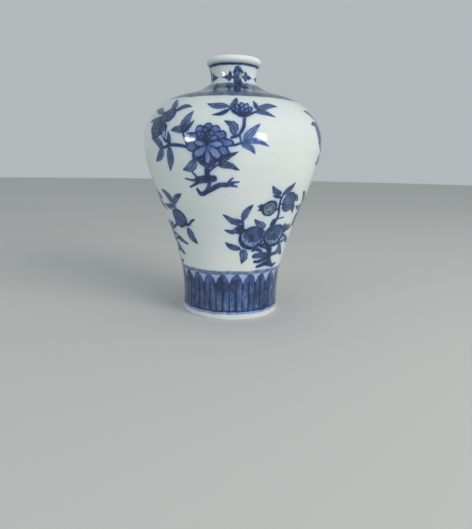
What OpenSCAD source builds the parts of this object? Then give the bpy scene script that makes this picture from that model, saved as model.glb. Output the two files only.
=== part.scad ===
// Porcelain vase of the tall, high-shouldered kind with a small mouth.
// It is thrown in four sections, which are stacked edge to edge and luted
// together with a coil of soft clay pressed into a groove inside each seam.
// Millimetres, +Z up, origin at the centre of the foot's underside.

/* [Body] */
// Height from the foot's underside to the top of the lip
vase_h = 300; // [230:1:420]
// Greatest radius of the body
belly_r = 106.5; // [80:0.5:150]
// Distance from the top of the lip down to the greatest radius
belly_drop = 95; // [85:0.5:140]
// Radius of the slight waist just above the foot
waist_r = 59; // [45:0.5:75]
// Height of that waist
waist_z = 22.5; // [12:0.5:30]
// Thickness of the wall, square to its surface
wall = 4.5; // [3:0.1:7]

/* [Shoulder] */
// Radius where the shoulder's dome turns into the rise to the neck
shoulder_r = 63; // [50:0.5:75]
// Distance from the top of the lip down to that turn
shoulder_drop = 43.5; // [36:0.5:60]
// Slope of the shoulder there, in degrees below level
shoulder_slope = 13.5; // [5:0.5:30]

/* [Neck and lip] */
// Radius of the neck at its narrowest
neck_r = 26.5; // [22:0.5:34]
// Distance from the top of the lip down to the narrowest level
neck_drop = 25.5; // [21:0.5:34]
// How much the neck flares out below the lip
neck_flare = 3.7; // [1:0.1:6]
// Radius of the rolled lip's round section
lip_roll_r = 4.2; // [3.5:0.1:6]
// How far the lip stands proud of the flared neck
lip_overhang = 2; // [1:0.1:3]

/* [Foot] */
// Radius of the foot where it stands
foot_r = 59.6; // [46:0.5:76]
// Bevel round the foot's lower edge
foot_bevel = 0.9; // [0.4:0.1:1.5]
// Width of the ring that the vase stands on
ring_w = 7; // [4:0.5:12]
// Depth of the hollow inside the ring
recess_h = 6; // [4.5:0.1:8]
// Thickness of the floor above that hollow
floor_t = 6; // [4:0.1:9]
// Radius between the floor and the wall inside
floor_fillet = 9; // [4:0.5:10]

/* [Seams] */
// Height of the seam between the foot and the lower body
foot_seam_z = 30.5; // [24:0.5:40]
// Height of the seam between the lower and the upper body
body_seam_z = 136; // [100:1:150]
// Distance from the top of the lip down to the neck's seam
neck_seam_drop = 32.5; // [28:0.5:36]
// Width of the edge on which two sections meet
seam_seat = 2; // [1.2:0.1:2.5]
// Half the height of the groove inside a seam
groove_h = 4; // [2.5:0.1:6]
// How far a luting coil stands in from the wall
coil_proud = 1.4; // [0.5:0.1:2.5]

/* [Hidden] */

turn_fn = 96;
steps_per_curve = 24;
coil_steps = 6;
roll_steps = 16;

belly_z = vase_h - belly_drop;
shoulder_z = vase_h - shoulder_drop;
neck_z = vase_h - neck_drop;
flare_r = neck_r + neck_flare;
lip_r = flare_r + lip_overhang;
roll_centre = [lip_r - lip_roll_r, vase_h - lip_roll_r];
floor_z = recess_h + floor_t;

// How far each curve follows its end tangents, as a share of its own rise or run
lower_hold = 0.38;
belly_hold = 0.24;
crown_hold = 0.46;
crown_run = 0.6;
root_run = 0.74;
root_hold = 0.12;
neck_hold = 0.5;
flare_run = 0.6;
flare_hold = 0.2;

// ---- the outline: four curves from the foot to the narrowest of the neck ----

slope_dir = [cos(shoulder_slope), -sin(shoulder_slope)];
lower_rise = belly_z - waist_z;
crown_rise = shoulder_z - belly_z;

FOOT_CURVE = [[foot_r, 0], [foot_r, 0] + (waist_z / 3) * [0, 1],
              [waist_r, waist_z * 2 / 3], [waist_r, waist_z]];
LOWER_CURVE = [[waist_r, waist_z], [waist_r, waist_z + lower_rise * lower_hold],
               [belly_r, belly_z - lower_rise * belly_hold], [belly_r, belly_z]];
CROWN_CURVE = [[belly_r, belly_z], [belly_r, belly_z + crown_rise * crown_hold],
               [shoulder_r, shoulder_z] + slope_dir * (belly_r - shoulder_r) * crown_run,
               [shoulder_r, shoulder_z]];
ROOT_CURVE = [[shoulder_r, shoulder_z],
              [shoulder_r, shoulder_z] - slope_dir * (shoulder_r - neck_r) * root_run,
              [neck_r, neck_z - (neck_z - shoulder_z) * root_hold], [neck_r, neck_z]];
OUTLINE = [FOOT_CURVE, LOWER_CURVE, CROWN_CURVE, ROOT_CURVE];

function bezier(p, t) =
    pow(1 - t, 3) * p[0] + 3 * t * pow(1 - t, 2) * p[1]
    + 3 * t * t * (1 - t) * p[2] + t * t * t * p[3];
function bezier_slope(p, t) =
    3 * pow(1 - t, 2) * (p[1] - p[0]) + 6 * t * (1 - t) * (p[2] - p[1])
    + 3 * t * t * (p[3] - p[2]);

// A place u on the outline is its curve's number plus how far along that curve it is
function curve_of(u) = min(floor(u), len(OUTLINE) - 1);
function outside(u) = bezier(OUTLINE[curve_of(u)], u - curve_of(u));
function outward(u) =
    let (d = bezier_slope(OUTLINE[curve_of(u)], u - curve_of(u)))
    [d[1], -d[0]] / norm(d);
// The point at a depth below the surface at u
function within(u, depth) = outside(u) - depth * outward(u);
function inside(u) = within(u, wall);
// The place on the outline at height z, found by halving
function place_at(z, lo = 0, hi = 4, n = 30) =
    n == 0 ? (lo + hi) / 2
    : outside((lo + hi) / 2)[1] < z ? place_at(z, (lo + hi) / 2, hi, n - 1)
    : place_at(z, lo, (lo + hi) / 2, n - 1);
// The place a given distance along the outline from u
function place_along(u, distance) =
    u + distance / norm(bezier_slope(OUTLINE[curve_of(u)], u - curve_of(u)));

function steps_between(u0, u1) = max(2, ceil(abs(u1 - u0) * steps_per_curve));
function places(u0, u1) =
    let (n = steps_between(u0, u1)) [for (i = [0:n]) u0 + (u1 - u0) * i / n];

// ---- the seams ----

foot_seam = place_at(foot_seam_z);
body_seam = place_at(body_seam_z);
neck_seam = place_at(vase_h - neck_seam_drop);

// The wall between two seams, as a closed outline
function section_points(u0, u1) =
    let (in0 = place_along(u0, groove_h), in1 = place_along(u1, -groove_h))
    concat([for (u = places(u0, u1)) outside(u)],
           [within(u1, seam_seat)],
           [for (u = places(in1, in0)) inside(u)],
           [within(u0, seam_seat)]);

// The coil fills the groove and stands in from the wall as a low round bead
function coil_points(u) =
    let (low = inside(place_along(u, -groove_h)),
         high = inside(place_along(u, groove_h)),
         across = high - low,
         inward = [-across[1], across[0]] / norm(across))
    concat([within(u, seam_seat)],
           [for (i = [0:coil_steps])
                high - across * i / coil_steps
                + inward * coil_proud * sin(180 * i / coil_steps)]);

module turned(points) {
    rotate_extrude($fn = turn_fn) polygon(points);
}

module luting_coil(u) {
    turned(coil_points(u));
}

// ---- the sections ----

// The foot ring, the floor and the first of the wall
module foot() {
    wall_in = inside(place_at(floor_z + floor_fillet))[0];
    fillet_centre = [wall_in - floor_fillet, floor_z + floor_fillet];
    ring_in = foot_r - ring_w;
    groove_low = place_along(foot_seam, -groove_h);
    color("GhostWhite")
        turned(concat(
            [[foot_r - foot_bevel, 0]],
            [for (u = places(place_at(foot_bevel), foot_seam)) outside(u)],
            [within(foot_seam, seam_seat), inside(groove_low)],
            [for (i = [0:coil_steps])
                fillet_centre + floor_fillet * [cos(90 * i / coil_steps), -sin(90 * i / coil_steps)]],
            [[0, floor_z], [0, recess_h], [ring_in - recess_h / 2, recess_h], [ring_in, 0]]));
}

module lower_body() {
    color("AliceBlue") turned(section_points(foot_seam, body_seam));
}

module upper_body() {
    color("AliceBlue") turned(section_points(body_seam, neck_seam));
}

// The neck and its rolled lip, which thickens the wall towards the mouth
module neck() {
    narrow = len(OUTLINE);
    lip_low = -acos((flare_r - roll_centre[0]) / lip_roll_r);
    lip_foot = roll_centre + lip_roll_r * [cos(lip_low), sin(lip_low)];
    flare_rise = lip_foot[1] - neck_z;
    mouth = roll_centre - [lip_roll_r, 0];
    bore_rise = mouth[1] - neck_z;
    flare = [[neck_r, neck_z], [neck_r, neck_z + flare_rise * neck_hold],
             lip_foot - [neck_flare * flare_run, flare_rise * flare_hold], lip_foot];
    bore = [mouth, mouth - [0, bore_rise / 3],
            [neck_r - wall, neck_z + bore_rise / 3], [neck_r - wall, neck_z]];
    color("AliceBlue")
        turned(concat(
            [for (u = places(neck_seam, narrow)) outside(u)],
            [for (i = [1:coil_steps]) bezier(flare, i / coil_steps)],
            [for (i = [1:roll_steps - 1])
                let (a = lip_low + (180 - lip_low) * i / roll_steps)
                roll_centre + lip_roll_r * [cos(a), sin(a)]],
            [for (i = [0:coil_steps - 1]) bezier(bore, i / coil_steps)],
            [for (u = places(narrow, place_along(neck_seam, groove_h))) inside(u)],
            [within(neck_seam, seam_seat)]));
}

module foot_luting_coil() {
    color("Linen") luting_coil(foot_seam);
}

module body_luting_coil() {
    color("Linen") luting_coil(body_seam);
}

module neck_luting_coil() {
    color("Linen") luting_coil(neck_seam);
}

foot();
lower_body();
upper_body();
neck();
foot_luting_coil();
body_luting_coil();
neck_luting_coil();
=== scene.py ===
"""Looks of the blue and white porcelain vase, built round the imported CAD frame.

The four porcelain sections are fine surfaces of revolution on the outline of the CAD sections.
Their painting is laid down stroke by stroke as pigment on a grid of (degrees round the vase,
millimetres up its outline), and stored on the vertices for one porcelain material to read.
Lengths in this file are millimetres until a mesh is made.
"""

import math

import bpy
import numpy as np
from mathutils import Matrix


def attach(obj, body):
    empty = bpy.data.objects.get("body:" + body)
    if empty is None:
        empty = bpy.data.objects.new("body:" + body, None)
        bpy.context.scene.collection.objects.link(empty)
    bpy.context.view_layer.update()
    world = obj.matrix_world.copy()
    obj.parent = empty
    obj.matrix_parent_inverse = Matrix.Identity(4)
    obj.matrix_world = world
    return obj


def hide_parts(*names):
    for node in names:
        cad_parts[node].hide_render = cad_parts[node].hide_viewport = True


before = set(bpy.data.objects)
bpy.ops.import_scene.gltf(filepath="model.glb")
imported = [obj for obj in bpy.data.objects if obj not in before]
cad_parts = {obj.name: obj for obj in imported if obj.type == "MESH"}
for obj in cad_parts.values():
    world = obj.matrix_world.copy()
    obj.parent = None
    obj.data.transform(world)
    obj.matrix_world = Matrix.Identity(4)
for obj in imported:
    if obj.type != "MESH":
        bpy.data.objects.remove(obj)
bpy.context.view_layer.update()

MM = 0.001
SEED = 41
COLS = 1080            # vertices round the vase
ROW = 0.56             # spacing of the vertex rows up the outer surface
INNER_ROW = 4.0        # the same on the inside

# ---- the outline, as in part.scad ----
VASE_H, BELLY_R, BELLY_Z = 300.0, 106.5, 205.0
WAIST_R, WAIST_Z, WALL = 59.0, 22.5, 4.5
SHOULDER_R, SHOULDER_Z, SHOULDER_SLOPE = 63.0, 256.5, math.radians(13.5)
NECK_R, NECK_Z, NECK_FLARE = 26.5, 274.5, 3.7
LIP_ROLL, LIP_OVERHANG = 4.2, 2.0
FOOT_R, FOOT_BEVEL, RING_W, RECESS_H, FLOOR_Z, FLOOR_FILLET = 59.6, 0.9, 7.0, 6.0, 12.0, 9.0
SEAM_Z = (30.5, 136.0, 267.5)
SEAT, GROOVE = 2.0, 4.0


def bezier(points, n=400):
    p = np.array(points, float)
    t = np.linspace(0, 1, n)[:, None]
    return (1 - t) ** 3 * p[0] + 3 * t * (1 - t) ** 2 * p[1] + 3 * t * t * (1 - t) * p[2] + t ** 3 * p[3]


def arc(centre, radius, a0, a1, n=200):
    a = np.linspace(a0, a1, n)
    return np.stack([centre[0] + radius * np.cos(a), centre[1] + radius * np.sin(a)], 1)


def outline():
    """Radius and height from the foot's lower edge to the mouth, and the points where curves meet."""
    slope = np.array([math.cos(SHOULDER_SLOPE), -math.sin(SHOULDER_SLOPE)])
    shoulder = np.array([SHOULDER_R, SHOULDER_Z])
    rise, crown = BELLY_Z - WAIST_Z, SHOULDER_Z - BELLY_Z
    flare_r = NECK_R + NECK_FLARE
    roll = (flare_r + LIP_OVERHANG - LIP_ROLL, VASE_H - LIP_ROLL)
    low = -math.acos((flare_r - roll[0]) / LIP_ROLL)
    lip_foot = np.array([flare_r, roll[1] + LIP_ROLL * math.sin(low)])
    flare = lip_foot[1] - NECK_Z
    curves = [
        bezier([[FOOT_R, 0], [FOOT_R, WAIST_Z / 3], [WAIST_R, WAIST_Z * 2 / 3], [WAIST_R, WAIST_Z]]),
        bezier([[WAIST_R, WAIST_Z], [WAIST_R, WAIST_Z + rise * 0.38],
                [BELLY_R, BELLY_Z - rise * 0.24], [BELLY_R, BELLY_Z]]),
        bezier([[BELLY_R, BELLY_Z], [BELLY_R, BELLY_Z + crown * 0.46],
                shoulder + slope * (BELLY_R - SHOULDER_R) * 0.6, shoulder]),
        bezier([shoulder, shoulder - slope * (SHOULDER_R - NECK_R) * 0.74,
                [NECK_R, NECK_Z - (NECK_Z - SHOULDER_Z) * 0.12], [NECK_R, NECK_Z]]),
        bezier([[NECK_R, NECK_Z], [NECK_R, NECK_Z + flare * 0.5],
                lip_foot - [NECK_FLARE * 0.6, flare * 0.2], lip_foot]),
        arc(roll, LIP_ROLL, low, math.pi)]
    points = np.concatenate(curves)
    keep = np.r_[True, np.linalg.norm(np.diff(points, axis=0), axis=1) > 1e-9]
    return points[keep], lip_foot


OUTLINE, LIP_FOOT = outline()
ALONG = np.r_[0, np.cumsum(np.linalg.norm(np.diff(OUTLINE, axis=0), axis=1))]
TURNS = np.gradient(OUTLINE, ALONG, axis=0)
TURNS /= np.linalg.norm(TURNS, axis=1)[:, None]


def up_to(z):
    """Distance up the outline of a height on the outer surface, below the lip."""
    low = ALONG <= ALONG[-1] - 22
    return float(np.interp(z, OUTLINE[low, 1], ALONG[low]))


def at(s, depth=0.0):
    """Points at distance s up the outline, that far below the surface."""
    s = np.atleast_1d(s)
    r, z = (np.interp(s, ALONG, OUTLINE[:, k]) for k in (0, 1))
    dr, dz = (np.interp(s, ALONG, TURNS[:, k]) for k in (0, 1))
    size = np.hypot(dr, dz)
    return np.stack([r - depth * dz / size, z + depth * dr / size], 1)


SEAMS = [up_to(z) for z in SEAM_Z]
LIP_S = float(np.interp(LIP_FOOT[1], OUTLINE[:-199, 1], ALONG[:-199]))
NECK_S = up_to(NECK_Z)
BREAKS = [FOOT_BEVEL] + SEAMS + [float(ALONG[-1])]
PARTS = ("foot", "lower_body", "upper_body", "neck")


def rows_between(s0, s1, step=ROW):
    return np.linspace(s0, s1, max(2, int(math.ceil((s1 - s0) / step)) + 1))


PART_ROWS = [rows_between(a, b) for a, b in zip(BREAKS, BREAKS[1:])]
ROWS = np.concatenate([PART_ROWS[0]] + [r[1:] for r in PART_ROWS[1:]])
DEGREES = np.arange(COLS) * 360.0 / COLS - 180.0
ROW_R = at(ROWS)[:, 0]
FOOT_BAND = 4.5        # height of the plain white band under the painting
UP = ROWS - FOOT_BAND  # the painting is designed in millimetres above that band

# ---- the painter's canvas ----
UNPAINTED_TONE = 0.75  # hue of the cobalt that spreads off the painting: 0 inky, 0.5 blue, 1 violet
rng = np.random.default_rng(SEED)


def blurred(field, spread):
    """Gaussian blur by that many rows and columns, going round the vase."""
    pad = int(4 * spread) + 1
    padded = np.pad(field, ((pad, pad), (0, 0)), mode="edge")
    spectrum = np.fft.rfft2(padded)
    ky = np.fft.fftfreq(padded.shape[0])[:, None]
    kx = np.fft.rfftfreq(padded.shape[1])[None]
    spectrum *= np.exp(-2 * np.pi ** 2 * ((ky * spread) ** 2 + (kx * spread) ** 2))
    return np.fft.irfft2(spectrum, s=padded.shape)[pad:-pad]


def wander(grain):
    """A smooth random field with features of about that many millimetres, of unit spread."""
    field = blurred(rng.standard_normal((len(ROWS), COLS)), grain / ROW)
    return (field - field.mean()) / field.std()


WOBBLE_X = 0.34 * wander(3.2)
WOBBLE_Y = 0.34 * wander(3.2)
LOAD = 1 + 0.10 * wander(2.2)          # how much pigment the brush leaves


def mm_per_degree(s):
    return float(np.interp(s, UP, ROW_R)) * math.pi / 180


def smooth(points, n=6):
    """A Catmull-Rom curve through the points."""
    p = np.array(points, float)
    if len(p) < 3:
        return np.array([p[0] + (p[-1] - p[0]) * t for t in np.linspace(0, 1, n + 1)])
    q = np.vstack([2 * p[0] - p[1], p, 2 * p[-1] - p[-2]])
    out = []
    for i in range(1, len(q) - 2):
        for t in np.arange(n) / n:
            a, b, c, d = q[i - 1:i + 3]
            out.append(0.5 * (2 * b + (c - a) * t + (2 * a - 5 * b + 4 * c - d) * t * t
                              + (3 * b - a - 3 * c + d) * t ** 3))
    out.append(p[-1])
    return np.array(out)


def ramp(x, low, high):
    """A smooth step from 0 at low to 1 at high."""
    t = np.clip((x - low) / (high - low), 0, 1)
    return t * t * (3 - 2 * t)


class Canvas:
    """Pigment laid on the outer surface: how dense it is, and its tone, from inky to violet."""

    def __init__(self):
        self.ink = np.zeros((len(ROWS), COLS))
        self.tone = np.full((len(ROWS), COLS), UNPAINTED_TONE)

    def window(self, points, pad):
        """The patch of grid near some (degree, mm) points: its indices and flat mm coordinates."""
        p = np.atleast_2d(np.array(points, float))
        k = mm_per_degree(p[:, 1].mean())
        r0, r1 = np.searchsorted(UP, [p[:, 1].min() - pad, p[:, 1].max() + pad])
        step = 360.0 / COLS
        c0 = math.floor((p[:, 0].min() - pad / k + 180) / step)
        c1 = math.ceil((p[:, 0].max() + pad / k + 180) / step)
        cols = np.arange(c0, c1 + 1)
        where = np.ix_(np.arange(r0, r1), cols % COLS)
        x = (cols * step - 180)[None] * k + WOBBLE_X[where]
        y = UP[r0:r1][:, None] + WOBBLE_Y[where]
        return where, x, y, k

    def lay(self, where, amount, cover, tone=None, opaque=False):
        """Adds pigment; an opaque stroke also clears what it covers."""
        amount = np.clip(amount, 0, 1.3) * LOAD[where]
        old = self.ink[where]
        self.ink[where] = old + cover * (amount - old) if opaque else np.maximum(old, cover * amount)
        if tone is not None:
            self.tone[where] += cover * (tone - self.tone[where])


def near(curve, x, y):
    """For each place: how far along the curve the nearest point is (0 to 1), and its signed distance."""
    best = np.full(x.shape, 1e9)
    along = np.zeros(x.shape)
    side = np.zeros(x.shape)
    n = len(curve) - 1
    for i in range(n):
        a, d = curve[i], curve[i + 1] - curve[i]
        size = max(float(d @ d), 1e-9)
        t = np.clip(((x - a[0]) * d[0] + (y - a[1]) * d[1]) / size, 0, 1)
        dx, dy = x - a[0] - t * d[0], y - a[1] - t * d[1]
        gap = np.hypot(dx, dy)
        closer = gap < best
        best = np.where(closer, gap, best)
        along = np.where(closer, (i + t) / n, along)
        side = np.where(closer, d[0] * dy - d[1] * dx, side)
    return along, np.sign(side) * best


def scaled(points, k):
    """(degree, mm) points as flat millimetres, at k millimetres to the degree."""
    return np.array(points, float) * [k, 1.0]


def stroke(c, points, widths, ink=0.9, tone=0.3):
    """A brush stroke through (degree, mm) points, with a width at each."""
    where, x, y, k = c.window(points, max(widths) + 1)
    curve = smooth(scaled(points, k))
    t, d = near(curve, x, y)
    half = np.interp(t, np.linspace(0, 1, len(widths)), widths) / 2
    edge = half - np.abs(d)
    cover = ramp(edge, -0.45, 0.45)
    c.lay(where, ink * (0.86 + 0.14 * ramp(1.2 - edge, 0, 1.2)), cover, tone)


def leaf(c, base, tip, width, bend=0.0, ink=0.78, tone=0.3):
    """A pointed leaf on a bent midrib: dark edge and rib, finer veins, and a wash between them."""
    where, x, y, k = c.window([base, tip], width + abs(bend) * 14 + 1)
    a, b = scaled([base, tip], k)
    length = np.linalg.norm(b - a)
    across = np.array([-(b - a)[1], (b - a)[0]]) / length
    curve = smooth([a, (a + b) / 2 + across * bend * length, b], 7)
    t, d = near(curve, x, y)
    half = width / 2 * 2.95 * np.clip(t, 1e-6, 1) ** 0.62 * np.clip(1 - t, 0, 1) ** 1.05
    half = half * (1 + 0.09 * np.sin(t * length * 1.9 + np.sign(d))) + 0.3 * (1 - t)
    edge = half - np.abs(d)
    cover = ramp(edge, -0.4, 0.4)
    rim = ramp(1.35 - edge, 0, 1.1)
    rib = ramp(0.7 - np.abs(d), 0, 0.6) * (t < 0.9)
    veins = 0.5 + 0.5 * np.cos(2 * np.pi * (t * length / 2.8 - np.abs(d) / 2.3))
    wash = 0.30 + 0.32 * veins + 0.18 * (1 - t)
    c.lay(where, ink * (wash + (1.12 - wash) * np.maximum(rim, rib)), cover, tone)


PETAL_LINE = 1.05      # pigment in a petal's outline


def petal(c, heart, tip, width, wash, tone, frill=0.05, seed=0):
    """A rounded petal from the heart to its rim: it hides what is behind, with a dark outline."""
    where, x, y, k = c.window([heart, tip], width * 0.7 + 2)
    a, b = scaled([heart, tip], k)
    length = np.linalg.norm(b - a)
    axis = (b - a) / length
    u = ((x - a[0]) * axis[0] + (y - a[1]) * axis[1]) / length
    v = (-(x - a[0]) * axis[1] + (y - a[1]) * axis[0])
    half = width / 2 * np.clip(u, 0, 1) ** 0.55 * np.clip((1.0 - u) * 2.6, 0, 1) ** 0.5
    angle = np.arctan2(v, (u - 0.55) * length)
    half = half * (1 + frill * np.cos(6 * angle + seed))
    edge = np.minimum(half - np.abs(v), (1.0 - u) * length)
    cover = ramp(edge, -0.3, 0.4) * (u > 0)
    rim = ramp(1.9 - edge, 0, 1.0) * (0.45 + 0.55 * ramp(u, 0.1, 0.45))
    rays = 0.5 + 0.5 * np.cos(v / width * 30)
    body = wash * (1.1 - 0.3 * u) + 0.12 * rays * (1 - u) + 0.22 * ramp(0.45 - u, 0, 0.45)
    c.lay(where, body + (PETAL_LINE - body) * rim, cover, tone, opaque=True)


def disc(c, centre, rx, ry, turn=0.0, wash=0.5, line=0.95, rim=1.4, tone=0.4):
    """An outlined oval; returns its window and, at each place, how deep inside the oval it lies."""
    where, x, y, k = c.window([centre], max(rx, ry) + 2)
    dx, dy = x - centre[0] * k, y - centre[1]
    a = math.radians(turn)
    p, q = dx * math.cos(a) + dy * math.sin(a), -dx * math.sin(a) + dy * math.cos(a)
    radius = np.hypot(p / rx, q / ry)
    edge = (1 - radius) * min(rx, ry)
    cover = ramp(edge, -0.4, 0.4)
    body = wash * (0.9 + 0.2 * q / ry)
    c.lay(where, body + (line - body) * ramp(rim + 0.3 - edge, 0, 0.8), cover, tone, opaque=True)
    return where, p, q, edge


def scales(c, where, p, q, edge, pitch, ink, tone, net):
    """A net of small overlapping scales or seeds inside an oval."""
    row = q / (pitch * 0.8)
    shift = np.floor(row) % 2 * 0.5
    u = (p / pitch + shift) % 1 - 0.5
    v = row % 1 - 0.35
    ring = np.abs(np.hypot(u, v) - 0.36)
    c.lay(where, ink * np.clip(net + 0.75 * ramp(0.16 - ring, 0, 0.12), 0, 1.2),
          ramp(edge, 0.2, 1.0), tone)


def dots(c, places, size, ink=0.9, tone=0.4):
    for place in places:
        where, x, y, k = c.window([place], size + 2)
        gap = np.hypot(x - place[0] * k, y - place[1])
        c.lay(where, np.full(x.shape, ink), ramp(size / 2 - gap, -0.4, 0.4), tone)


# ---- the sprays ----
def moved(value, shift):
    """The same design turned round the vase: every (degree, mm) pair gets the shift added."""
    if isinstance(value, tuple) and len(value) == 2 and not isinstance(value[0], (tuple, list)):
        return (value[0] + shift, value[1])
    return [moved(v, shift) for v in value]


def strokes(c, shift, rows, **how):
    for points, widths in rows:
        stroke(c, moved(points, shift), widths, **how)


def leaves(c, shift, rows, **how):
    for base, tip, width, bend in rows:
        leaf(c, moved(base, shift), moved(tip, shift), width, bend, **how)


def peony(c, centre, tone):
    """An open bloom: eleven broad outer petals, two inner rings, and five falling to the front."""
    k = mm_per_degree(centre[1])

    def place(mm_x, mm_y):
        return (centre[0] + mm_x / k, centre[1] + mm_y)

    def ring(heart, petals, wash, depth):
        for i, (degree, reach, width) in enumerate(petals):
            a = math.radians(degree)
            tip = (heart[0] + reach * math.cos(a), heart[1] + reach * math.sin(a))
            petal(c, place(*heart), place(*tip), width, wash=wash, tone=tone * depth, seed=i)

    # A petal is (its direction in degrees, its reach, its width)
    outer = ((91, 21.5, 17), (124, 21.5, 16), (62, 21, 16), (156, 21.5, 16), (32, 21.5, 16),
             (-172, 24, 16), (4, 26, 14), (-139, 22.5, 15), (-24, 24, 15), (-98, 20, 15), (-55, 21, 15))
    inner = ((95, 13, 10), (140, 12.5, 10), (48, 13, 10), (178, 12, 9), (12, 13.5, 9))
    crown = ((120, 8, 6.5), (70, 8, 6.5), (165, 7.5, 6), (25, 8, 6))
    falling = ((168, 14.5, 10.5), (4, 17.5, 11.5), (-90, 19, 12), (-140, 18, 13.5), (-42, 20, 15))
    ring((0, 0), outer, 0.46, 1.0)
    ring((-2, 4), inner, 0.50, 0.9)
    ring((-2.5, 5), crown, 0.5, 0.8)
    ring((-1.5, -1), falling, 0.27, 1.0)
    dots(c, [place(-2, 1), place(-4.5, 4), place(0.5, 4)], 2.2, 0.9, 0.5)


def side_bloom(c, centre, tone):
    """A bloom seen from the side, opening upwards from its calyx."""
    k = mm_per_degree(centre[1])

    def place(mm_x, mm_y):
        return (centre[0] + mm_x / k, centre[1] + mm_y)

    behind = ((-11, 3, 8), (-6.5, 8, 8), (0, 10, 8.5), (6, 9, 8), (10.5, 3.5, 8))
    in_front = ((-7, 1, 7), (0, 4, 7), (6.5, 1.5, 7), (-3.5, 0, 5), (3.5, 0, 5))
    for i, (x, y, width) in enumerate(behind):
        petal(c, place(0, -7), place(x, y), width, wash=0.36, tone=tone, frill=0.06, seed=i)
    for i, (x, y, width) in enumerate(in_front):
        petal(c, place(0, -8), place(x, y), width, wash=0.24, tone=tone, seed=i)
    for x in (-7, -3, 3, 7):
        leaf(c, place(0, -8.5), place(x, -2.5), 3.2, 0.1, ink=0.95, tone=0.5)


# A stem is (its points, its width at each) and a leaf is (base, tip, width, bend); places are
# (degrees from the front, millimetres up the outline)
UPPER_STEMS = (
    (((-13.5, 187), (-13.8, 177), (-14, 169)), (5.5, 4.8, 5.5)),
    (((-20.5, 165), (-15, 166.5), (-10.5, 167)), (7, 8.5, 6.5)),
    (((-20, 166), (-23.8, 173.5)), (2.6, 1.4)),
    (((-20, 164.8), (-25, 164.5), (-29.5, 166)), (2.6, 2.2, 1.1)),
    (((-20.5, 163), (-26.8, 157)), (3.4, 1.5)),
    (((-13.5, 165), (-14.3, 157), (-17, 151), (-20.3, 149.8), (-22.5, 154.5)),
     (3, 3.8, 4.8, 4.4, 2.6)),
    (((-17, 151), (-12.5, 155.5), (-8, 159.5), (-3, 160.6), (0.5, 161)), (4.4, 5.2, 5.4, 5, 3.4)),
    (((-2, 161.5), (1.2, 167.8)), (2.8, 1.3)),
    (((-1, 161.5), (4.8, 163.6)), (3, 1.4)),
    (((-1, 160), (3.4, 158.2)), (2.8, 1.4)),
    (((-13, 174.5), (-9.5, 179.5), (-5.5, 182.8)), (2.2, 1.8, 1.5)),
    (((-0.8, 201), (2.5, 202), (5.5, 204)), (2, 2, 2)),
    (((0, 208.6), (3.6, 210.2), (5.2, 214), (6.6, 222), (7.4, 231)), (2.2, 2.6, 3, 3.2, 3.6)),
    (((5, 204), (4.6, 210)), (1.8, 1.8)),
    (((7.2, 230), (11, 234), (16, 238)), (2.8, 2.6, 2)),
    (((6.8, 230), (2, 234), (-1.8, 241)), (2.6, 2.4, 2.4)),
    (((-24, 198.3), (-30, 200.2), (-36, 201.4), (-41, 199), (-46, 197.3)), (2.8, 3, 3.2, 3, 2)),
    (((-25.3, 202), (-27, 209), (-28, 214.5)), (1.6, 1.8, 2)),
    (((-21, 212.8), (-24.8, 212.2)), (1.8, 1.4)),
    (((-36, 201), (-38.5, 205), (-41.5, 207)), (3, 3.4, 3)),
    (((-37.5, 238), (-40, 243)), (1.8, 1.8)),
    (((-50, 236), (-44, 238)), (1.8, 2.2)),
)
UPPER_LEAVES = (
    ((-7, 182), (3.8, 194.5), 5.6, 0.06), ((-7.5, 181.5), (4.8, 176), 6.2, 0.1),
    ((-20.5, 186.5), (-30.2, 175), 9.2, 0.14),
    ((1.6, 210.5), (-4, 225.5), 8.2, -0.2), ((-1.5, 239), (3, 256), 6.2, -0.1),
    ((-2.5, 242.5), (-16.5, 246), 8, 0.06), ((-1.5, 238.5), (-11.8, 231), 3.6, 0.12),
    ((14.5, 240), (13.8, 252), 4, -0.06), ((15, 238.5), (30.5, 245.2), 7, 0.1),
    ((13.5, 236.5), (26, 230.5), 5.2, 0.1), ((-43, 198.3), (-55, 210), 7.6, -0.06),
    ((-43.5, 197), (-53, 184), 8.4, 0.06), ((-37.5, 198.5), (-40.8, 173.5), 9.4, 0.06),
    ((-28.5, 213.5), (-23.5, 236.5), 9.2, 0.08), ((-26.8, 213.5), (-21.5, 225.5), 4, 0.04),
    ((-27.8, 213.8), (-37, 216), 6.4, -0.12), ((-39, 240), (-46, 257), 7.4, -0.04),
    ((-37.5, 238), (-25.5, 242.5), 6.2, 0.16), ((-49, 236.5), (-64, 244.5), 7, -0.04),
    ((-51, 229), (-63, 228), 5, 0.0), ((-38, 203), (-38.8, 215), 5.4, -0.08),
)
# Three leaves of the spray, laid with less and bluer pigment than the rest: their paleness is a painted
# highlight of the window in front
UPPER_LEAVES_IN_PAINTED_HIGHLIGHT = (
    ((6.5, 205.5), (16.2, 223), 7.2, 0.05), ((6, 205), (21.5, 200.8), 5.4, 0.1),
    ((5, 203), (13.8, 192), 5.6, 0.1),
)
FRUIT_CLUSTER = (((-50, 221), 12.2), ((-41, 234), 8.4), ((-45.5, 230), 7), ((-44, 218), 7))


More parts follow.
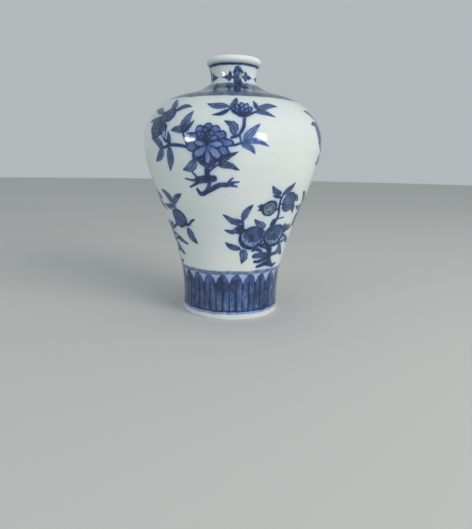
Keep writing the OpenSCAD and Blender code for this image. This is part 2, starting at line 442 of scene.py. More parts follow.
def upper_spray(c, shift, tone):
    """A peony with its cut branch, buds and fruits, set below the shoulder."""
    strokes(c, shift, UPPER_STEMS, ink=0.92, tone=0.52)
    leaves(c, shift, UPPER_LEAVES, ink=0.86, tone=0.36)
    # the leaves under the front window get thinner, bluer pigment as a painted highlight
    leaves(c, shift, UPPER_LEAVES_IN_PAINTED_HIGHLIGHT, ink=0.62, tone=0.6)
    stroke(c, moved([(-20, 188), (-17, 184), (-13.3, 181.5), (-9.8, 184), (-6.5, 188)], shift),
           (3, 5, 7, 5, 3), 0.9, 0.5)
    for centre, radius in FRUIT_CLUSTER:
        body = disc(c, moved(centre, shift), radius, radius * 0.96, wash=0.3, rim=2.0, tone=0.5)
        scales(c, *body, 5.4, 0.98, 0.5, net=0.42)
    disc(c, moved((-42.2, 212), shift), 3.6, 4.4, wash=0.16, rim=0.8, tone=0.6)
    leaf(c, moved((-38, 204), shift), moved((-39, 215), shift), 4.6, -0.1, 0.9, 0.35)
    peony(c, moved((-12.8, 202), shift), tone)
    side_bloom(c, moved((6, 238.5), shift), tone)


LOWER_STEMS = (
    (((9.8, 108), (9.6, 114), (9, 119.5)), (2.2, 2, 1.8)),
    (((8, 117.5), (6, 119)), (1.6, 1.4)),
    (((9, 113), (5, 113.5)), (1.8, 1.4)),
    (((35, 108), (38.5, 118), (39.2, 125), (37.3, 135), (37.2, 145), (38, 151)),
     (4, 3.4, 3, 2.6, 2.2, 1.8)),
    (((38, 133), (34, 131)), (2, 2)),
    (((37.5, 138), (41, 139)), (1.8, 1.8)),
    (((24, 74), (30, 75.5), (36, 74), (41, 73.5)), (5.5, 7.5, 7.5, 6.5)),
    (((21, 81.5), (26, 82.5), (31, 80.5)), (3, 4.4, 3)),
    (((25, 67), (30, 67.5), (36, 69), (42, 71)), (3, 4.4, 5, 5)),
    (((28.5, 60), (34, 62), (40, 63.5), (46, 61)), (3, 4.4, 5.4, 5)),
    (((41, 80), (42, 72), (44, 66), (49, 60), (56, 61)), (7, 8, 6, 4.4, 3)),
    (((44, 74), (50, 74.5), (58, 76.5)), (5, 4, 2)),
    (((29, 86), (36, 84.5), (42, 86)), (2, 3, 3.4)),
    (((33, 90), (37, 84), (41, 79)), (3, 4, 5)),
    (((46, 61), (52, 58.5)), (4, 2.5)),
    (((40, 120), (46.5, 121.5)), (1.6, 1.2)),
    (((27, 89), (31, 87.5), (33, 92)), (2.6, 3, 2.6)),
    (((50, 101), (56, 103.5), (64, 107), (70, 112)), (3.4, 3.4, 3.4, 3.6)),
    (((81, 110.5), (85, 114), (90.5, 118.5)), (2.8, 2.6, 1.4)),
    (((73.5, 128), (73, 135)), (3, 2.2)),
    (((50, 88), (58, 90), (66, 93)), (3.4, 3, 2.4)),
    (((50, 74), (53, 80)), (3, 2)),
)
LOWER_LEAVES = (
    ((8.8, 117), (-5.8, 126), 7.2, 0.14), ((8.2, 112.5), (-5, 107.5), 5.6, 0.26),
    ((9, 119.5), (15.8, 138.5), 7.4, 0.08), ((9.5, 84), (-5, 92), 6.6, 0.1),
    ((11, 83.5), (10.8, 65), 9.2, 0.14), ((29.5, 111), (18.5, 121), 7.2, 0.1),
    ((38.5, 120), (33.5, 111), 7, 0.0), ((36, 150.5), (27, 160), 6.6, 0.12),
    ((36.8, 146), (29, 149.5), 3.2, 0.06), ((38, 150), (46.5, 164), 6.8, -0.06),
    ((50, 146.5), (58, 141.5), 6, 0.0), ((49.5, 138), (58, 125), 6.4, 0.06),
    ((56, 103.5), (62, 112), 4.6, 0.1), ((73, 137), (61.5, 152.5), 8.4, -0.08),
    ((73.5, 135.5), (84.5, 149.5), 6.8, 0.08), ((72.5, 133.5), (57.5, 134), 6.6, 0.08),
    ((81, 107), (88.5, 88), 9.6, -0.1), ((60, 95), (77, 86.5), 6, -0.08),
    ((53, 86), (67, 71), 7.6, -0.08), ((50, 96), (62, 97), 4.4, 0.0),
)


def pomegranate(c, centre, flip):
    """A ripe fruit split open to its seeds, crowned at one end."""
    k = mm_per_degree(centre[1])

    def place(mm_x, mm_y):
        return (centre[0] + flip * mm_x / k, centre[1] + mm_y)

    for tip in ((-20, 12.5), (-20.5, 6), (-13.5, 15)):
        leaf(c, place(-12, 6), place(*tip), 5, 0.0, 0.95, 0.4)
    disc(c, centre, 15.5, 13.6, wash=0.33, rim=2.0, tone=0.6)
    where, p, q, edge = disc(c, place(2.2, 3.6), 12.8, 9.2, wash=0.58, line=0.80, rim=1, tone=0.6)
    scales(c, where, p, q, edge, 3.6, 0.66, 0.6, net=0.82)
    speckles = ((-8, -3.5), (-4, -5.5), (2, -8.6), (7, -8.2), (-9, 0.5), (11, -6), (-11, -6))
    dots(c, [place(x, y) for x, y in speckles], 2.6)
    stroke(c, [place(-13.5, 7), place(-14.8, -3), place(-9, -11), place(0, -13), place(10, -10.5)],
           (2.4, 3.4, 4, 3.6, 2.6), 0.98, 0.4)


def lower_spray(c, shift):
    """Two open pomegranates, a round one, a hatched bud and a ribbed fruit above their roots."""
    strokes(c, shift, LOWER_STEMS, ink=0.94, tone=0.50)
    leaves(c, shift, LOWER_LEAVES, ink=0.86, tone=0.36)
    pomegranate(c, moved((41.5, 99), shift), -1)
    pomegranate(c, moved((19.6, 98), shift), 1)
    for tip in ((19.2, 136.5), (19.8, 131), (21.5, 139)):
        leaf(c, moved((24.5, 133.8), shift), moved(tip, shift), 3.6, 0.0, 0.9, 0.3)
    disc(c, moved((29, 133.5), shift), 9.6, 9.4, wash=0.38, rim=2.2, tone=0.1)
    disc(c, moved((29, 133.5), shift), 6, 5.6, wash=0.36, line=0.72, rim=1, tone=0.1)
    dots(c, moved([(29.6, 137), (28.6, 130), (26.5, 134), (31.5, 134.5)], shift), 2.1)
    where, p, q, edge = disc(c, moved((46.3, 140.5), shift), 10.4, 11.8, 10, wash=0.55, tone=0.4)
    hatch = 0.5 + 0.5 * np.cos(q / 0.55 + p / 2.5)
    c.lay(where, 0.42 + 0.34 * hatch, ramp(edge, 0.4, 1.2), 0.4)
    where, p, q, edge = disc(c, moved((74, 119), shift), 11.6, 10.6, wash=0.5, rim=2.4, tone=0.5)
    c.lay(where, 0.46 + 0.28 * np.cos(p / 1.3) ** 2, ramp(edge, 1, 2.2), 0.5, opaque=True)
    stroke(c, moved([(66.5, 113), (74, 108.5), (81.5, 112)], shift), (2.4, 3, 2.4), 0.95, 0.35)


# ---- the bands ----
# A line round the vase is (its lower edge, its upper edge, how much pigment it holds)
FOOT_LINE, FOOT_WASH, LILAC_LINE = (5.2, 6.9, 1.0), (2.2, 5.4, 0.13), (2.6, 3.5, 0.40)
GREY_LINE = (51.0, 55.7, 0.38)
COLLAR_LINE, NECK_ROOT_LINE = (261.0, 262.4, 0.46), (307.0, 315.0, 0.45)
LIP_LINE = (LIP_S - 3.3, LIP_S - 0.9, 0.95)


def rule(s, low, high, amount):
    """A painted line round the vase between two distances up the outline."""
    return amount * ramp(s - low, -0.35, 0.35) * ramp(high - s, -0.35, 0.35)


LAPPETS = 24
LAPPET_SHIFT = 7.0                 # degrees from the front to the first lappet
LAPPET_FOOT, LAPPET_TOP = 6.0, 51.5
LAPPET_SHOULDER = 31.0             # where its sides start to curve in
RIB_TOP = 47.0                     # where its midrib and inner line end
STRIPE = 2.15                      # pitch of the brushed stripes


def lappet(s, x, up, width, load):
    """A lappet's cover and pigment: a striped wash, an outline, an inner line and a midrib."""
    half = width / 2 * np.clip(1 - up ** 2.6, 0, 1) ** 0.62
    edge = half - np.abs(x)
    cover = ramp(edge, -0.25, 0.35) * (s < LAPPET_TOP) * (s > LAPPET_FOOT - 1)
    outer_line = ramp(1.35 - edge, 0, 0.9)
    inner_line = ramp(0.5 - np.abs(edge - 3.1), 0, 0.5) * (s > 9) * (s < RIB_TOP)
    rib = ramp(1.7 - 0.5 * up - np.abs(x), 0, 0.9) * (s < RIB_TOP)
    stripes = 0.5 + 0.5 * np.cos(2 * np.pi * x / STRIPE)
    wash = 0.40 * load + 0.36 * stripes + 0.02 * up
    return cover, wash, np.maximum.reduce([1.02 * outer_line, 0.84 * inner_line, 1.02 * rib])


def lappets_behind(s, x, width):
    """The pigment of the row behind, whose ribs and shoulders show in the gaps."""
    gap = width / 2 - np.abs(x)
    ribs = ramp(0.8 - gap, 0, 0.6) * (s < 39) * (s > 33)
    shoulders = ramp(0.9 - np.abs(gap - (41 - s) * 0.5), 0, 0.6) * (s < 41) * (s > 35)
    return np.maximum(0.12 * (s < 50) * (s > 34), 0.85 * (ribs + shoulders))


def lappet_band(c):
    """Upright lappets round the foot, a second row between them, and the lines that frame them."""
    rows = (UP >= 1) & (UP <= 58)
    s = UP[rows][:, None] + WOBBLE_Y[rows]
    width = 2 * np.pi * ROW_R[rows][:, None] / LAPPETS
    turn = (DEGREES - LAPPET_SHIFT) * LAPPETS / 360 + 0.5
    x = (turn % 1 - 0.5)[None] * width + WOBBLE_X[rows] * 0.8
    load = rng.uniform(0.85, 1.15, LAPPETS)[np.floor(turn).astype(int) % LAPPETS][None]
    up = np.clip((s - LAPPET_SHOULDER) / (LAPPET_TOP - LAPPET_SHOULDER), 0, 1)
    cover, wash, drawing = lappet(s, x, up, width, load)
    body = np.maximum(wash + 0.10 * wander(7)[rows], drawing)
    ink = lappets_behind(s, x, width)
    ink = ink + cover * (body - ink)
    lines = [rule(s, *line) for line in (FOOT_LINE, FOOT_WASH, LILAC_LINE, GREY_LINE)]
    ink = np.maximum.reduce([ink] + lines) * LOAD[rows]
    c.ink[rows] = np.maximum(c.ink[rows], ink)
    tone = 0.52 + 0.10 * wander(18)[rows] + 0.30 * up + 0.3 * (s < 5) - 0.7 * (s > LAPPET_TOP)
    c.tone[rows] += (ink > 0.05) * (tone - c.tone[rows])


COLLAR_FOOT, COLLAR_TOP = 261.0, 309.0
COLLAR_REPEATS = 4
COLLAR_SHIFT = 4.0                 # degrees from the front to a broad leaf
COLLAR_WASH = 0.55
# A collar leaf is (its middle in repeats, half its width in degrees at the foot and top, its wash)
COLLAR_LEAVES = ((0.0, 17.0, 27.5, 0.61), (0.5, 6.0, 16.5, 0.62))


def collar(c):
    """The washed band round the neck's root: four broad leaves pointing outwards, narrow ones between."""
    rows = (UP >= COLLAR_FOOT - 2) & (UP <= 320)
    s = UP[rows][:, None] + WOBBLE_Y[rows]
    pitch = 360 / COLLAR_REPEATS
    d = ((DEGREES[None] - COLLAR_SHIFT) / pitch + 0.5) % 1 * pitch - pitch / 2
    up = np.clip((s - COLLAR_FOOT) / (COLLAR_TOP - COLLAR_FOOT), 0, 1)
    mm = ROW_R[rows][:, None] * math.pi / 180
    ink = np.full(s.shape, COLLAR_WASH)
    for middle, low, high, wash in COLLAR_LEAVES:
        x = np.abs(np.abs(d) - middle * pitch)
        edge = (low + (high - low) * up ** 0.8 - x) * mm
        midrib = ramp(1.1 - x * mm, 0, 1.0)
        side_veins = ramp(0.9 - np.abs(x * mm - 4.2 - 5 * up), 0, 0.9) * 0.7
        leaf_ink = wash + 0.10 * up + 0.34 * (midrib + side_veins) * ramp(up, 0.06, 0.2)
        ink = ink + ramp(edge, -0.5, 0.5) * (leaf_ink - ink)
        ink = np.maximum(ink, 0.78 * ramp(1.3 - np.abs(edge - 0.5), 0, 1.0))
    band = ramp(s - COLLAR_FOOT, -0.8, 0.8) * ramp(COLLAR_TOP - s, -0.5, 0.5)
    lines = [rule(s, *line) for line in (NECK_ROOT_LINE, COLLAR_LINE)]
    ink = np.maximum.reduce([band * ink] + lines) * LOAD[rows]
    c.ink[rows] = np.maximum(c.ink[rows], ink)
    front = np.exp(-(d / 24) ** 2)         # bluer on the broad leaves
    tone = 0.04 + 0.36 * front + 0.06 * wander(14)[rows]
    c.tone[rows] += (ink > 0.05) * (tone - c.tone[rows])


NECK_MOTIFS = 4
NECK_SHIFT = 11.0                  # degrees from the front to a column
BUD_S = 324                        # how far up the outline the buds' middles are
# The motif's strokes, as (points in degrees off the column, widths, ink): the ring, what is drawn
# on both sides (bud, wing, link, cap and the column's edge), and the column itself
NECK_RING = (((-40, BUD_S), (40, BUD_S)), (0.9, 0.9), 0.6)
NECK_SIDES = (
    (((19, 319.5), (20, BUD_S), (19, 328.6)), (2.4, 6.6, 2.2), 0.92),
    (((18, BUD_S), (28, 324.2), (36, BUD_S)), (2.4, 4.4, 1), 0.88),
    (((8, BUD_S), (18, BUD_S)), (2, 2.6), 0.8),
    (((11, 329), (6, 330.6), (0, 333.6)), (2.4, 3.8, 2.4), 0.92),
    (((9, 315), (8.4, BUD_S), (8.8, 330)), (1.2, 1.2, 1.2), 0.95),
)
NECK_COLUMN_WASH = (((0, 314), (0, BUD_S), (0, 331)), (9, 8.4, 8.6), 0.62)
NECK_COLUMN_FOOT = (((0, 313), (0, 320.5)), (8.4, 7.6), 0.90)
NECK_CAP_POINT = (((0, 333), (0, 335)), (3, 1.6), 0.92)


def neck_band(c):
    """Four columns with pointed caps, each with a winged bud at either side, and a line under the lip."""
    def draw(middle, design, way=1, tone=0.3):
        points, widths, ink = design
        stroke(c, [(middle + way * x, s) for x, s in points], widths, ink, tone)

    for i in range(NECK_MOTIFS):
        middle = NECK_SHIFT + i * 360 / NECK_MOTIFS
        draw(middle, NECK_RING)
        for way in (-1, 1):
            for design in NECK_SIDES:
                draw(middle, design, way)
        draw(middle, NECK_COLUMN_WASH, tone=0.36)
        draw(middle, NECK_COLUMN_FOOT)
        draw(middle, NECK_CAP_POINT)
    rows = (ROWS >= LIP_S - 12) & (ROWS <= LIP_S + 3)
    ink = rule(ROWS[rows][:, None] + 0.4 * WOBBLE_Y[rows], *LIP_LINE) * LOAD[rows]
    c.ink[rows] = np.maximum(c.ink[rows], ink)
    c.tone[rows] *= 1 - ramp(ink, 0.0, 0.05)


# Each spray's turn round the vase, and its bloom's tone
SPRAYS = ((0.0, 0.78), (120.0, 0.66), (-120.0, 0.72))
SOFTENED = 0.30                    # how far the glaze blurs the drawing
HALO, HALO_REACH = 0.11, 1.7       # cobalt that spreads in the glaze close to the painting
BLEED, BLEED_REACH = 0.18, 5.0     # the same further out, and only off the paint


def painted():
    """The whole decoration, and the fields that the material reads at every outer vertex."""
    c = Canvas()
    for shift, bloom_tone in SPRAYS:
        upper_spray(c, shift, bloom_tone)
        lower_spray(c, shift)
    lappet_band(c)
    collar(c)
    neck_band(c)
    ink = blurred(c.ink, SOFTENED / ROW)
    bleed = BLEED * blurred(c.ink, BLEED_REACH / ROW) * (1 - np.clip(2.5 * ink, 0, 1))
    ink = ink + HALO * blurred(c.ink, HALO_REACH / ROW) + bleed
    tone = blurred(c.tone, 1.0 / ROW)
    return {"cobalt": np.clip(ink, 0, 1.25), "tone": np.clip(tone, 0, 1)}


POOL_PLAIN = 0.35                  # depth of the glaze where nothing makes it pool or thin
SEAM_SWELLS = (0.16, 0.28)         # height of the swellings at the two lower seams


def bell(s, middle, reach):
    return np.exp(-((s - middle) / reach) ** 2)


def surface_fields():
    """Where the glaze pools or thins, and where the clay is bare, at each outer row."""
    crest = ALONG[-1] - LIP_ROLL * math.pi / 2
    pool = POOL_PLAIN + 0.25 * bell(ROWS, NECK_S - 6, 7) + 0.25 * bell(ROWS, LIP_S, 1.2)
    pool = pool + 0.15 * bell(ROWS, 3.2, 1.6) - 0.45 * bell(ROWS, crest, 6.5)
    edge = 1.5 + 0.4 * wander(9)[0]
    bare = ramp(edge[None] - ROWS[:, None], -0.25, 0.25)
    return {"pool": np.clip(pool, 0, 1)[:, None] * np.ones(COLS)[None], "bare": bare}


def relief(fields):
    """How far the real surface stands off the outline, in millimetres: turning marks, seams, glaze."""
    s = ROWS[:, None]
    theta = np.radians(DEGREES)[None]
    rise = 0.05 * np.sin(s / 2.9 + 0.4 * np.sin(theta)) + 0.10 * np.sin(s / 21 + 1.1 * np.cos(theta + 1))
    for seam, height in zip(SEAMS, SEAM_SWELLS):
        rise = rise + height * bell(s, seam, 5.5) * (1 + 0.25 * np.cos(2 * theta + seam))
    rise = rise + 0.07 * wander(16) * ramp(s, 4, 14)
    rise = rise * ramp(s, 2, 10) * ramp(ALONG[-1] - s, 2, 12)
    return rise - 0.16 * fields["bare"] + 0.03 * np.clip(fields["cobalt"], 0, 1)


# ---- meshes ----
POLE_R = 4.0           # the rings round the two poles of the foot, which are closed by fans
RING_ROWS = 5          # profile points across the standing ring
SHARP = math.radians(38)


def foot_profile(high):
    """From the foot's upper seam down the inside, over the floor and the recess, to the ring."""
    wall_in = at(up_to(FLOOR_Z + FLOOR_FILLET), WALL)[0][0]
    centre = (wall_in - FLOOR_FILLET, FLOOR_Z + FLOOR_FILLET)
    fillet = arc(centre, FLOOR_FILLET, 0, -math.pi / 2, 10)
    floor = [[r, FLOOR_Z] for r in np.linspace(centre[0] - 8, POLE_R, 6)]
    recess = [[r, RECESS_H] for r in np.linspace(POLE_R, FOOT_R - RING_W - RECESS_H / 2, 8)]
    ring = [[r, 0.0] for r in np.linspace(FOOT_R - RING_W, FOOT_R - FOOT_BEVEL, RING_ROWS)]
    return np.vstack([at(high, SEAT), at(high - GROOVE, WALL), fillet, floor, recess, ring])


def neck_profile(low):
    """From the mouth down the bore and the inside of the rise to the neck's seam."""
    mouth, neck_in = OUTLINE[-1], NECK_R - WALL
    drop = (mouth[1] - NECK_Z) / 3
    bore = bezier([mouth, mouth - [0, drop], [neck_in, NECK_Z + drop], [neck_in, NECK_Z]], 24)[1:]
    inner = at(rows_between(NECK_S, low + GROOVE, 1.5)[1:], WALL)
    return np.vstack([bore, inner, at(low, SEAT)])


def rest_of(part):
    """The profile that closes a section behind its outer surface, from its top to its lower edge."""
    low, high = BREAKS[part], BREAKS[part + 1]
    if PARTS[part] == "foot":
        return foot_profile(high)
    if PARTS[part] == "neck":
        return neck_profile(low)
    inner = at(rows_between(low + GROOVE, high - GROOVE, INNER_ROW)[::-1], WALL)
    return np.vstack([at(high, SEAT), inner, at(low, SEAT)])


# How many stacked strips the outer surface takes in the bake's square, and their share of its height
STRIPS = {"foot": (4, 0.72), "lower_body": (2, 0.9), "upper_body": (2, 0.9), "neck": (3, 0.86)}
GAP = 0.004            # free border round each strip


def uv_of(name, n_outer, profile):
    """Where each face corner goes in the square: two arrays of shape (faces up, faces round, 4)."""
    strips, share = STRIPS[name]
    n = len(profile)
    j = np.arange(COLS)[None, :, None]
    corner_up = np.array([0, 0, 1, 1])[None, None]
    corner_round = np.array([0, 1, 1, 0])[None, None]
    i = np.arange(n)[:, None, None]
    per = COLS // strips
    band = j // per
    outer_u = ((j % per) + corner_round) / per
    slot = share / strips
    outer_v = (band + GAP / slot * 0.5 + (1 - GAP / slot) * (i + corner_up) / (n_outer - 1)) * slot
    ring = np.vstack([profile, profile[:1]])
    length = np.r_[0, np.cumsum(np.linalg.norm(np.diff(ring, axis=0), axis=1))]
    inner_t = (length - length[n_outer - 1]) / (length[-1] - length[n_outer - 1])
    inner_u = (j + corner_round) / COLS * np.ones((n, 1, 1))
    inner_t = inner_t[np.clip(i + corner_up, 0, n)] * np.ones((1, COLS, 1))
    inner_v = share + GAP + (1 - share - 2 * GAP) * inner_t
    is_outer = i < n_outer - 1
    u = np.where(is_outer, outer_u, inner_u)
    v = np.where(is_outer, outer_v, inner_v)
    return GAP + (1 - 2 * GAP) * u, GAP + (1 - 2 * GAP) * v


def turned(profile):
    """Points placed round the axis: (rows, columns or 1, (radius, height)) to (rows, columns, 3)."""
    theta = np.radians(DEGREES)
    turn = np.stack([np.sin(theta), -np.cos(theta)], 1)
    profile = np.broadcast_to(profile, (len(profile), COLS, 2))
    return np.concatenate([profile[..., :1] * turn[None], profile[..., 1:]], 2)


def closed_by_fans(points, quads, uv, row, heights):
    """The foot's profile reaches the axis twice: opens it there and closes each end with a fan."""
    here, start = slice(row * COLS, (row + 1) * COLS), row * COLS
    rim, rim_next = start + np.arange(COLS), start + (np.arange(COLS) + 1) % COLS
    top, bottom = (np.full(COLS, len(points) + k) for k in (0, 1))
    fans = np.concatenate([np.stack([rim, rim_next, top], 1),
                           np.stack([rim_next + COLS, rim + COLS, bottom], 1)])
    fan_uv = np.concatenate([uv[here][:, [0, 1, 3]], uv[here][:, [2, 3, 0]]])
    fan_uv[:, 2, 1] = (fan_uv[:, 0, 1] + fan_uv[:, 2, 1]) / 2
    quads, uv = np.delete(quads, here, 0), np.delete(uv, here, 0)
    points = np.vstack([points] + [[[0, 0, z]] for z in heights])
    corners = np.concatenate([quads.ravel(), fans.ravel()])
    sizes = np.concatenate([np.full(len(quads), 4), np.full(len(fans), 3)])
    places = np.concatenate([uv.reshape(-1, 2), fan_uv.reshape(-1, 2)])
    return points, corners, sizes, places


def mesh_of(name, points, corners, sizes, places):
    """A mesh from its points, the flat list of face corners, the faces' sizes and the bake's places."""
    mesh = bpy.data.meshes.new(name)
    mesh.vertices.add(len(points))
    mesh.vertices.foreach_set("co", (points * MM).astype(np.float32).ravel())
    mesh.loops.add(len(corners))
    mesh.loops.foreach_set("vertex_index", corners.astype(np.int32))
    mesh.polygons.add(len(sizes))
    mesh.polygons.foreach_set("loop_start", np.r_[0, np.cumsum(sizes)[:-1]].astype(np.int32))
    layer = mesh.uv_layers.new(name="OFBake")
    layer.data.foreach_set("uv", places.astype(np.float32).ravel())
    return mesh


def store_fields(mesh, name, n, fields):
    """Puts what the material reads on every vertex; behind the outer surface it is plain."""
    for key, field in fields.items():
        values = np.zeros((n, COLS), np.float32)
        values[:len(field)] = field
        if key == "pool":
            values[len(field):] = POOL_PLAIN
        if key == "bare" and name == "foot":
            values[-RING_ROWS:] = 1.0
        poles = np.full(len(mesh.vertices) - values.size, values[-1 - RING_ROWS, 0])
        attribute = mesh.attributes.new(key, "FLOAT", "POINT")
        attribute.data.foreach_set("value", np.r_[values.ravel(), poles])


def turned_mesh(name, outer, rest, fields):
    """A closed piece: the outer grid of points, and behind it the rest of its profile, turned."""
    grid = np.concatenate([outer, turned(rest[:, None])])
    n, n_outer = len(grid), len(outer)
    i, j = np.arange(n)[:, None] * COLS, np.arange(COLS)[None]
    up, right = (np.arange(n)[:, None] + 1) % n * COLS, (j + 1) % COLS
    quads = np.stack([i + j, i + right, up + right, up + j], 2).reshape(-1, 4)
    outer_profile = np.stack([np.hypot(outer[:, 0, 0], outer[:, 0, 1]), outer[:, 0, 2]], 1)
    uv = np.stack(uv_of(name, n_outer, np.vstack([outer_profile, rest])), -1).reshape(-1, 4, 2)
    points = grid.reshape(-1, 3)
    at_axis = np.flatnonzero((rest[:-1, 0] == POLE_R) & (rest[1:, 0] == POLE_R))
    if len(at_axis):
        first = int(at_axis[0])
        parts = closed_by_fans(points, quads, uv, n_outer + first, rest[first:first + 2, 1])
    else:
        parts = points, quads.ravel(), np.full(len(quads), 4), uv.reshape(-1, 2)
    mesh = mesh_of(name, *parts)
    store_fields(mesh, name, n, fields)
    mesh.update(calc_edges=True)
    mesh.validate()
    mesh.shade_smooth()
    mesh.set_sharp_from_angle(angle=SHARP)
    return mesh


def sections(fields, rise):
    """Makes the four porcelain sections and puts each in place of its CAD node."""
    start = 0
    made = []
    for part, name in enumerate(PARTS):
        rows = slice(start, start + len(PART_ROWS[part]))
        start = rows.stop - 1
        flat = at(ROWS[rows])
        step = at(ROWS[rows], -1.0) - flat
        outer = turned(flat[:, None] + step[:, None] * rise[rows][:, :, None])
        mesh = turned_mesh(name, outer, rest_of(part), {k: v[rows] for k, v in fields.items()})
        piece = bpy.data.objects.new("porcelain_" + name, mesh)
        bpy.context.scene.collection.objects.link(piece)
        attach(piece, "root")
        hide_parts(name)
        made.append(piece)
    return made


# ---- materials ----
class Nodes:
    """Short ways to add and link shader nodes."""

    def __init__(self, name):
        self.material = bpy.data.materials.new(name)
        self.material.use_nodes = True
        self.tree = self.material.node_tree
        self.shader = self.tree.nodes["Principled BSDF"]

    def add(self, kind, links=None, **settings):
        node = self.tree.nodes.new(kind)
        for key, value in settings.items():
            setattr(node, key, value)
        for socket, value in (links or {}).items():
            self.put(node, socket, value)
        return node

    def put(self, node, socket, value):
        if isinstance(value, bpy.types.NodeSocket):
            self.tree.links.new(value, node.inputs[socket])
        else:
            node.inputs[socket].default_value = value

    def field(self, name):
        return self.add("ShaderNodeAttribute", attribute_name=name).outputs["Fac"]

    def math(self, operation, a, b=0.0, clamp=False):
        return self.add("ShaderNodeMath", {0: a, 1: b}, operation=operation, use_clamp=clamp).outputs[0]

    def noise(self, scale, detail=3.0, rough=0.5):
        place = self.add("ShaderNodeTexCoord").outputs["Object"]
        return self.add("ShaderNodeTexNoise", {"Vector": place, "Scale": scale, "Detail": detail,
                                               "Roughness": rough}).outputs["Fac"]

    def spread(self, value, low, high, out_low, out_high):
        return self.add("ShaderNodeMapRange", {"Value": value, "From Min": low, "From Max": high,
                                               "To Min": out_low, "To Max": out_high}).outputs["Result"]

    def mix(self, factor, a, b, blend="MIX"):
        node = self.add("ShaderNodeMix", data_type="RGBA", blend_type=blend)
        for socket, value in ((0, factor), (6, a), (7, b)):
            self.put(node, socket, value)
        return node.outputs[2]

    def colours(self, factor, stops):
        node = self.add("ShaderNodeValToRGB", {"Fac": factor})
        ramp_ = node.color_ramp
        while len(ramp_.elements) < len(stops):
            ramp_.elements.new(0.5)
        for element, (place, colour) in zip(ramp_.elements, stops):
            element.position = place
            element.color = (*colour, 1)
        return node.outputs["Color"]

    def bump(self, height, distance, strength, normal=None):
        links = {"Height": height, "Distance": distance, "Strength": strength}
        if normal is not None:
            links["Normal"] = normal
        return self.add("ShaderNodeBump", links).outputs["Normal"]


# Colours of the glaze, and how each tone of cobalt darkens from the bare white as it gets denser
WHITE = (0.66, 0.71, 0.70)
GLAZE_POOLED = (0.47, 0.60, 0.62)
GLAZE_THIN = (0.84, 0.86, 0.84)
INKY = ((0.0, WHITE), (0.18, (0.34, 0.43, 0.47)), (0.45, (0.130, 0.185, 0.235)),
        (0.75, (0.044, 0.075, 0.115)), (1.0, (0.018, 0.032, 0.053)))
BLUE = ((0.0, WHITE), (0.18, (0.31, 0.41, 0.58)), (0.45, (0.080, 0.148, 0.32)),
        (0.75, (0.037, 0.066, 0.150)), (1.0, (0.015, 0.027, 0.067)))
VIOLET = ((0.0, WHITE), (0.18, (0.29, 0.39, 0.67)), (0.45, (0.088, 0.150, 0.43)),
          (0.75, (0.034, 0.058, 0.200)), (1.0, (0.014, 0.024, 0.085)))
IRON_SPECK = (0.20, 0.13, 0.08, 1)
KILN_CLAY = ((0.3, (0.60, 0.56, 0.50)), (0.7, (0.72, 0.70, 0.66)))
LUTING_CLAY = ((0.3, (0.55, 0.55, 0.50)), (0.7, (0.70, 0.70, 0.65)))


def porcelain(name):
    """Cobalt under a clear, faintly blue-green glaze; bare clay where the vase stood in the kiln."""
    n = Nodes(name)
    cobalt, tone, bare, pool = (n.field(k) for k in ("cobalt", "tone", "bare", "pool"))
    speck = n.spread(n.noise(760, 2, 0.6), 0.3, 0.7, -1, 1)
    mottle = n.spread(n.noise(190, 3, 0.6), 0.3, 0.7, -1, 1)
    cloud = n.noise(16, 2, 0.5)
    grain = n.math("ADD", n.math("MULTIPLY", speck, 0.13), n.math("MULTIPLY", mottle, 0.15))
    dense = n.math("MULTIPLY", cobalt, n.math("ADD", grain, 1.0))
    inky, blue, violet = (n.colours(dense, stops) for stops in (INKY, BLUE, VIOLET))
    paint = n.mix(n.spread(tone, 0.5, 1, 0, 1), n.mix(n.spread(tone, 0, 0.5, 0, 1), inky, blue), violet)
    glaze = n.colours(n.math("ADD", pool, n.math("MULTIPLY", n.math("SUBTRACT", cloud, 0.5), 0.35)),
                      ((0.0, GLAZE_THIN), (POOL_PLAIN, WHITE), (1.0, GLAZE_POOLED)))
    shown = n.mix(n.spread(cobalt, 0.0, 0.10, 0, 1), glaze, paint)
    iron = n.spread(n.noise(420, 2, 0.5), 0.70, 0.74, 0, 1)
    shown = n.mix(n.math("MULTIPLY", iron, 0.35), shown, IRON_SPECK)
    clay = n.colours(n.noise(90, 5, 0.6), KILN_CLAY)
    n.put(n.shader, "Base Color", n.mix(bare, shown, clay))
    uneven = n.spread(n.noise(60, 4, 0.6), 0.3, 0.7, 0.05, 0.11)
    gloss = n.math("ADD", uneven, n.math("MULTIPLY", bare, 0.62))
    heaped = n.math("MULTIPLY", n.spread(dense, 0.75, 1.15, 0, 1), 0.05)
    n.put(n.shader, "Roughness", n.math("ADD", gloss, heaped))
    n.put(n.shader, "IOR", 1.5)
    peel = n.bump(n.noise(230, 3, 0.5), 0.00006, 0.5)
    pits = n.bump(n.spread(n.noise(900, 1, 0.4), 0.70, 0.80, 0, -1), 0.00012, 0.6, peel)
    rough_clay = n.bump(n.math("MULTIPLY", n.noise(1400, 4, 0.7), bare), 0.00025, 0.8, pits)
    n.put(n.shader, "Normal", rough_clay)
    return n.material


def luting(name):
    """Soft clay pressed in by hand: pale, matt, with finger marks."""
    n = Nodes(name)
    marks = n.noise(70, 4, 0.6)
    n.put(n.shader, "Base Color", n.colours(marks, LUTING_CLAY))
    n.put(n.shader, "Roughness", n.spread(n.noise(300, 3, 0.6), 0.3, 0.7, 0.35, 0.6))
    n.put(n.shader, "Normal", n.bump(marks, 0.0008, 0.7))
    return n.material


def finish_surfaces(pieces):
    glazes = {slot: porcelain(slot) for slot in ("foot_porcelain", "body_porcelain", "neck_porcelain")}
    slots = ("foot_porcelain", "body_porcelain", "body_porcelain", "neck_porcelain")
    for piece, slot in zip(pieces, slots):
        piece.data.materials.append(glazes[slot])
    clay = luting("luting_clay")
    for node in ("foot_luting_coil", "body_luting_coil", "neck_luting_coil"):
        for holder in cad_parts[node].material_slots:
            holder.material = clay


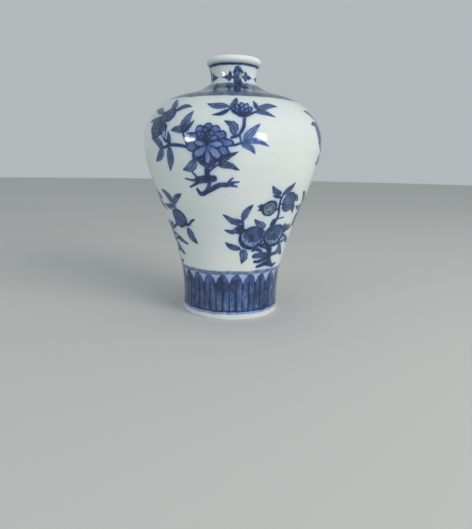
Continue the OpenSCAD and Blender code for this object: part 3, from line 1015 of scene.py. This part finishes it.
# ---- the studio (metres) ----
FLOOR_R, FLOOR_SIDES = 6, 48
FLOOR_COLOUR = (0.62, 0.62, 0.60, 1)


def add_floor():
    turns = [2 * math.pi * i / FLOOR_SIDES for i in range(FLOOR_SIDES)]
    ring = [(FLOOR_R * math.cos(a), FLOOR_R * math.sin(a), 0.0) for a in turns]
    mesh = bpy.data.meshes.new("floor")
    mesh.from_pydata(ring, [], [tuple(range(FLOOR_SIDES))])
    floor = bpy.data.objects.new("floor", mesh)
    bpy.context.scene.collection.objects.link(floor)
    nodes = Nodes("studio_floor")
    nodes.put(nodes.shader, "Base Color", FLOOR_COLOUR)
    nodes.put(nodes.shader, "Roughness", 0.8)
    mesh.materials.append(nodes.material)


BELLY = (0.0, 0.0, 0.2)            # what every light is aimed at


def add_light(name, place, size, energy, colour):
    """A soft rectangular light, turned towards the belly."""
    data = bpy.data.lights.new(name, "AREA")
    data.shape = "RECTANGLE"
    data.size, data.size_y = size
    data.energy = energy
    data.color = colour
    light = bpy.data.objects.new(name, data)
    bpy.context.scene.collection.objects.link(light)
    direction = np.array(BELLY, float) - np.array(place, float)
    z = -direction / np.linalg.norm(direction)
    x = np.cross((0, 0, 1), z)
    x /= np.linalg.norm(x)
    y = np.cross(z, x)
    light.matrix_world = Matrix([[x[0], y[0], z[0], place[0]], [x[1], y[1], z[1], place[1]],
                                 [x[2], y[2], z[2], place[2]], [0, 0, 0, 1]])
    return light


def add_lights():
    add_light("window_left", place=(-1.24, -1.0, 0.29), size=(0.36, 0.14), energy=3.6,
              colour=(0.90, 0.96, 1.0))
    key = add_light("key_right", place=(1.6, -1.3, 1.0), size=(1.0, 1.2), energy=24.8,
                    colour=(1.0, 0.97, 0.92))
    key.visible_glossy = False
    add_light("window_front", place=(0.78, -1.12, 0.42), size=(0.28, 0.32), energy=2.5,
              colour=(1.0, 0.99, 0.96))
    world = bpy.data.worlds.new("studio")
    world.use_nodes = True
    back = world.node_tree.nodes["Background"]
    back.inputs["Color"].default_value = (0.90, 0.97, 1.0, 1)
    back.inputs["Strength"].default_value = 0.5
    bpy.context.scene.world = world


CAMERA_PLACE = (0.0067, -0.5818, 0.1776)
CAMERA_TILT, CAMERA_ROLL = math.radians(90 - 11.91), math.radians(0.995)
CAMERA_LENS, SENSOR_W = 31.55, 36.0    # millimetres


def add_camera():
    """The camera of the photograph: a little above the shoulder, tilted down and slightly rolled."""
    data = bpy.data.cameras.new("camera")
    data.sensor_width = SENSOR_W
    data.lens = CAMERA_LENS
    data.clip_start = 0.01
    camera = bpy.data.objects.new("camera", data)
    bpy.context.scene.collection.objects.link(camera)
    turn = Matrix.Rotation(CAMERA_TILT, 4, "X") @ Matrix.Rotation(CAMERA_ROLL, 4, "Z")
    camera.matrix_world = Matrix.Translation(CAMERA_PLACE) @ turn
    bpy.context.scene.camera = camera


fields = painted()
fields.update(surface_fields())
finish_surfaces(sections(fields, relief(fields)))
add_floor()
add_lights()
add_camera()
bpy.context.scene.view_settings.view_transform = "Standard"
